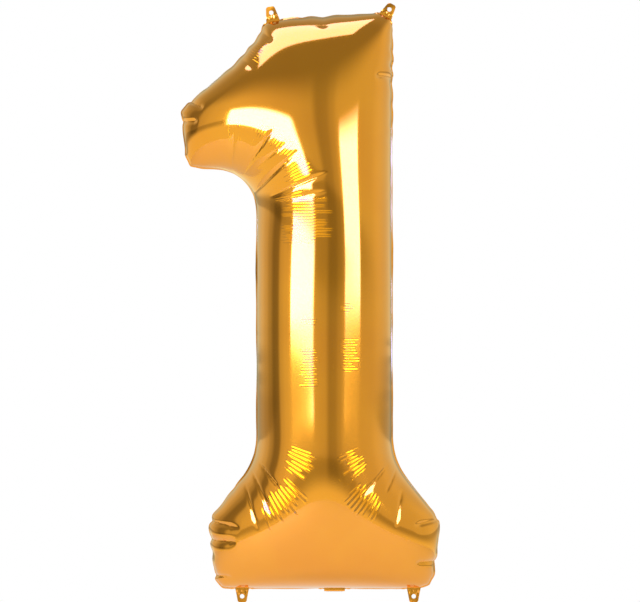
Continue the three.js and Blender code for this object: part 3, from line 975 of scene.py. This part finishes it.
# The room's brightness by azimuth, in degrees, and by how far a direction points from the camera
# (0 straight back towards it, 1 straight away) where it points up.
WALLS = [
    (-180, 0.30), (-155, 0.66), (-131, 0.74), (-117, 0.64), (-105, 0.44), (-95, 0.25), (-86, 0.27),
    (-79, 0.66), (-68, 0.78), (-58, 0.85), (-16, 0.70), (0, 0.64), (9, 0.40), (17, 0.42),
    (25, 0.55), (33, 0.70), (64, 0.70), (83, 0.72), (103, 0.80), (128, 0.74), (146, 0.76),
    (162, 0.45), (180, 0.32),
]
CEILING = [(0.0, 0.30), (0.45, 0.32), (0.6, 0.38), (0.9, 0.5), (1.0, 0.4)]
LOW_WALL_LOSS = 0.38     # share of the walls' brightness that is gone just below the horizon
FLOOR_GLOW = 0.95
# How far up or down a direction points (0 level, 1 upright) while one part of the room gives way
# to the next.
WALLS_TO_CEILING = (0.35, 0.7)
WALLS_TO_LOW_WALLS = (0.009, 0.026)
LOW_WALLS_TO_FLOOR = (0.07, 0.2)


def make_floor():
    bpy.ops.mesh.primitive_circle_add(vertices=128, radius=FLOOR_RADIUS, fill_type="NGON")
    floor = bpy.context.object
    floor.name = "floor"
    floor.data.transform(floor.matrix_world)
    floor.location = (FRAME_MIDDLE.x, 0, cad_box[0].z - FLOOR_DROP)
    material, tree, shader = blank_material("pale_floor")
    shader.inputs["Base Color"].default_value = (*FLOOR_COLOUR, 1)
    shader.inputs["Roughness"].default_value = 0.7
    shader.inputs["Emission Color"].default_value = (*FLOOR_COLOUR, 1)
    shader.inputs["Emission Strength"].default_value = FLOOR_LIGHT
    floor.data.materials.append(material)


make_floor()


def area_lamp(name, width, height, brightness):
    light = bpy.data.lights.new(name, "AREA")
    light.shape = "RECTANGLE"
    light.size, light.size_y = width, height
    light.energy = brightness * math.pi * width * height
    light.color = COOL_WHITE
    light.use_nodes = True
    lamp = bpy.data.objects.new(name, light)
    scene.collection.objects.link(lamp)
    lamp.visible_camera = False
    return lamp


def softbox(name, azimuth, distance, width, low, high, brightness, fade):
    """An upright softbox that faces the balloon."""
    a = math.radians(azimuth)
    away = Vector((math.sin(a), -math.cos(a), 0))
    lamp = area_lamp(name, width, high - low, brightness)
    tree = lamp.data.node_tree
    across, up, _ = separate(tree, tree.nodes.new("ShaderNodeNewGeometry").outputs["Parametric"])
    level = 1.0
    for value, share in ((across, fade[0]), (math_node(tree, "SUBTRACT", 1.0, across), fade[1]),
                         (up, fade[2]), (math_node(tree, "SUBTRACT", 1.0, up), fade[3])):
        level = math_node(tree, "MULTIPLY", level, soft_step(tree, value, 0.0, max(share, 0.001)))
    tree.links.new(level, tree.nodes["Emission"].inputs["Strength"])
    lamp.location = FRAME_MIDDLE + away * distance + Vector((0, 0, (low + high) / 2))
    lamp.rotation_euler = away.to_track_quat("Z", "Y").to_euler()


for name, values in SOFTBOXES.items():
    softbox(name, *values)
top_lamp = area_lamp("top_softbox", TOP_SOFTBOX["width"], TOP_SOFTBOX["depth"], TOP_SOFTBOX["brightness"])
top_lamp.location = FRAME_MIDDLE + Vector(TOP_SOFTBOX["place"])


def warm(brightness):
    return (*[brightness * share for share in WARM_WHITE], 1)


def make_room():
    """The world: brightness by direction, and plain white where the camera looks past the
    balloon."""
    world = bpy.data.worlds.new("room")
    scene.world = world
    world.use_nodes = True
    tree = world.node_tree
    x, y, z = separate(tree, tree.nodes.new("ShaderNodeTexCoord").outputs["Generated"])

    def ramp(value, stops):
        node = tree.nodes.new("ShaderNodeValToRGB")
        node.color_ramp.interpolation = "EASE"
        tree.links.new(value, node.inputs[0])
        marks = node.color_ramp.elements
        marks.remove(marks[1])
        marks[0].position = stops[0][0]
        marks[0].color = warm(stops[0][1])
        for place, brightness in stops[1:]:
            marks.new(place).color = warm(brightness)
        return node.outputs[0]

    def mix(factor, a, b):
        node = tree.nodes.new("ShaderNodeMix")
        node.data_type = "RGBA"
        tree.links.new(factor, node.inputs["Factor"])
        tree.links.new(a, node.inputs["A"])
        if isinstance(b, float):
            node.inputs["B"].default_value = warm(b)
        else:
            tree.links.new(b, node.inputs["B"])
        return node.outputs["Result"]

    turn = math_node(tree, "ARCTAN2", x, math_node(tree, "MULTIPLY", y, -1.0))
    azimuth = math_node(tree, "MULTIPLY_ADD", turn, 0.5 / math.pi, 0.5)
    walls = ramp(azimuth, [((degrees + 180) / 360, brightness) for degrees, brightness in WALLS])
    upper = ramp(math_node(tree, "MULTIPLY_ADD", y, 0.5, 0.5), CEILING)
    raised = mix(soft_step(tree, z, *WALLS_TO_CEILING), walls, upper)
    below = math_node(tree, "MULTIPLY", z, -1.0)
    dimmed = tree.nodes.new("ShaderNodeVectorMath")
    dimmed.operation = "SCALE"
    tree.links.new(raised, dimmed.inputs[0])
    low = math_node(tree, "MULTIPLY", soft_step(tree, below, *WALLS_TO_LOW_WALLS), LOW_WALL_LOSS)
    tree.links.new(math_node(tree, "SUBTRACT", 1.0, low), dimmed.inputs["Scale"])
    lit = mix(soft_step(tree, below, *LOW_WALLS_TO_FLOOR), dimmed.outputs[0], FLOOR_GLOW)
    white = tree.nodes.new("ShaderNodeRGB")
    white.outputs[0].default_value = (1, 1, 1, 1)
    seen = mix(tree.nodes.new("ShaderNodeLightPath").outputs["Is Camera Ray"], lit, white.outputs[0])
    tree.links.new(seen, tree.nodes["Background"].inputs["Color"])


make_room()
scene.view_settings.view_transform = "Standard"
